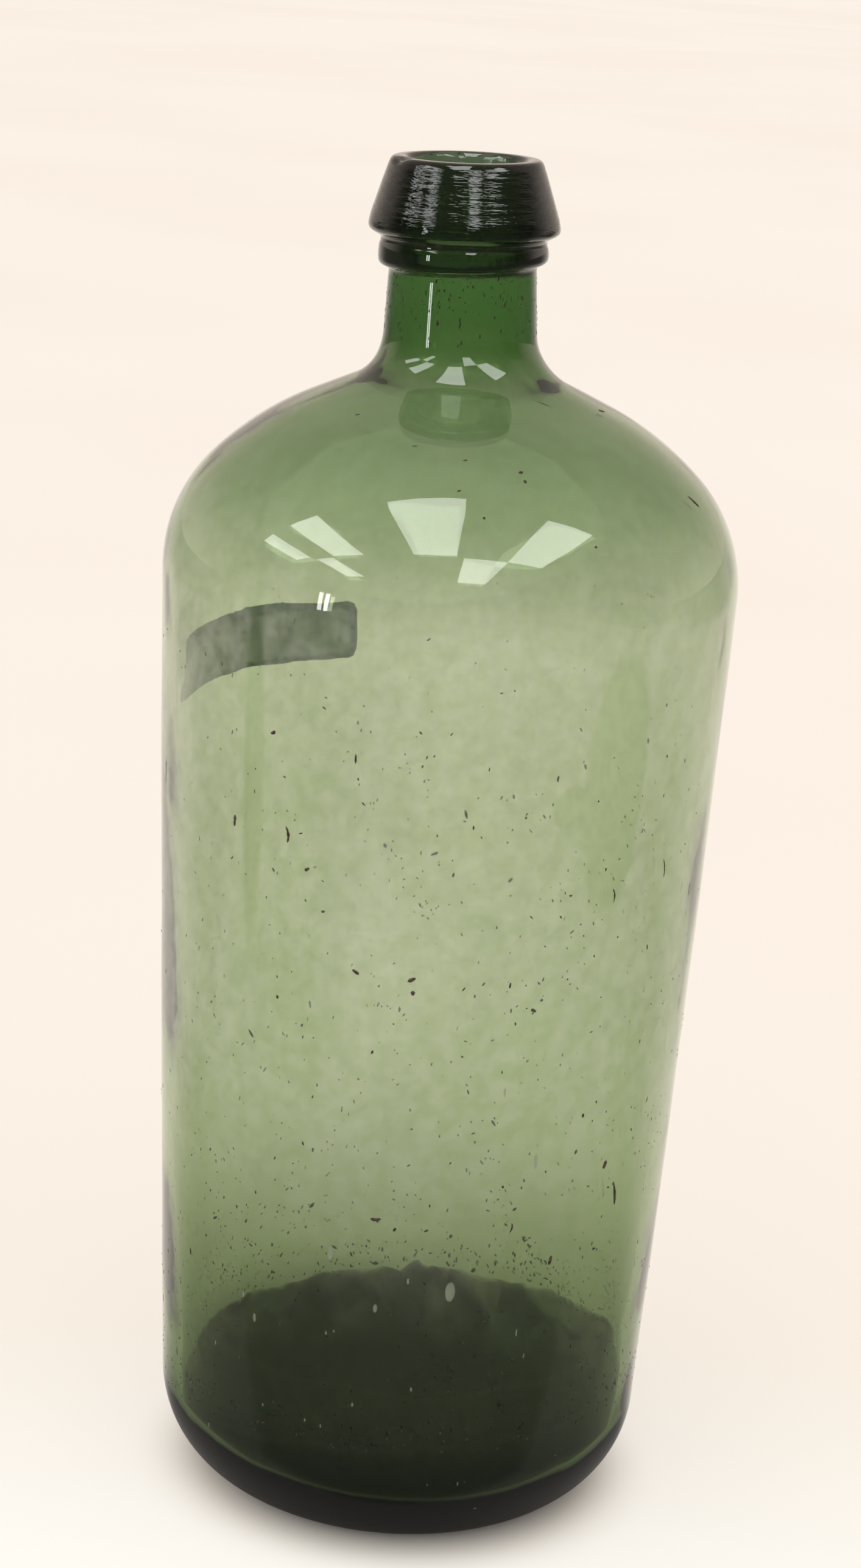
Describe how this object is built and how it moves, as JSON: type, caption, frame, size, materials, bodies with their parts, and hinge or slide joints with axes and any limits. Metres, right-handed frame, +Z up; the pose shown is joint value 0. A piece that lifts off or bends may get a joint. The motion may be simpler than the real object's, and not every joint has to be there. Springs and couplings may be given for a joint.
{
  "type": "glass utility bottle",
  "caption": "Large round utility bottle in thick green glass, with a domed shoulder, a short leaning neck, a string ring, a tapered lip and a bare label strip on its back.",
  "frame": {"origin": "centre of the resting ring under the foot, on the surface that the bottle stands on", "axes": "+Z up along the body towards the mouth, front towards -Y, the neck leans 1.4 degrees towards -X"},
  "size_m": [0.1264, 0.1264, 0.3054],
  "materials": {
    "glass": "smooth olive green glass, hand blown, with faint waves, seeds and a film of grime; nearly black where it is thick",
    "label": "bare dark green adhesive strip, matte, with a paler worn middle",
    "residue": "dry brown sediment and specks, matte"
  },
  "bodies": {
    "root": {"bottle": "glass", "label": "label"}
  },
  "joints": []
}
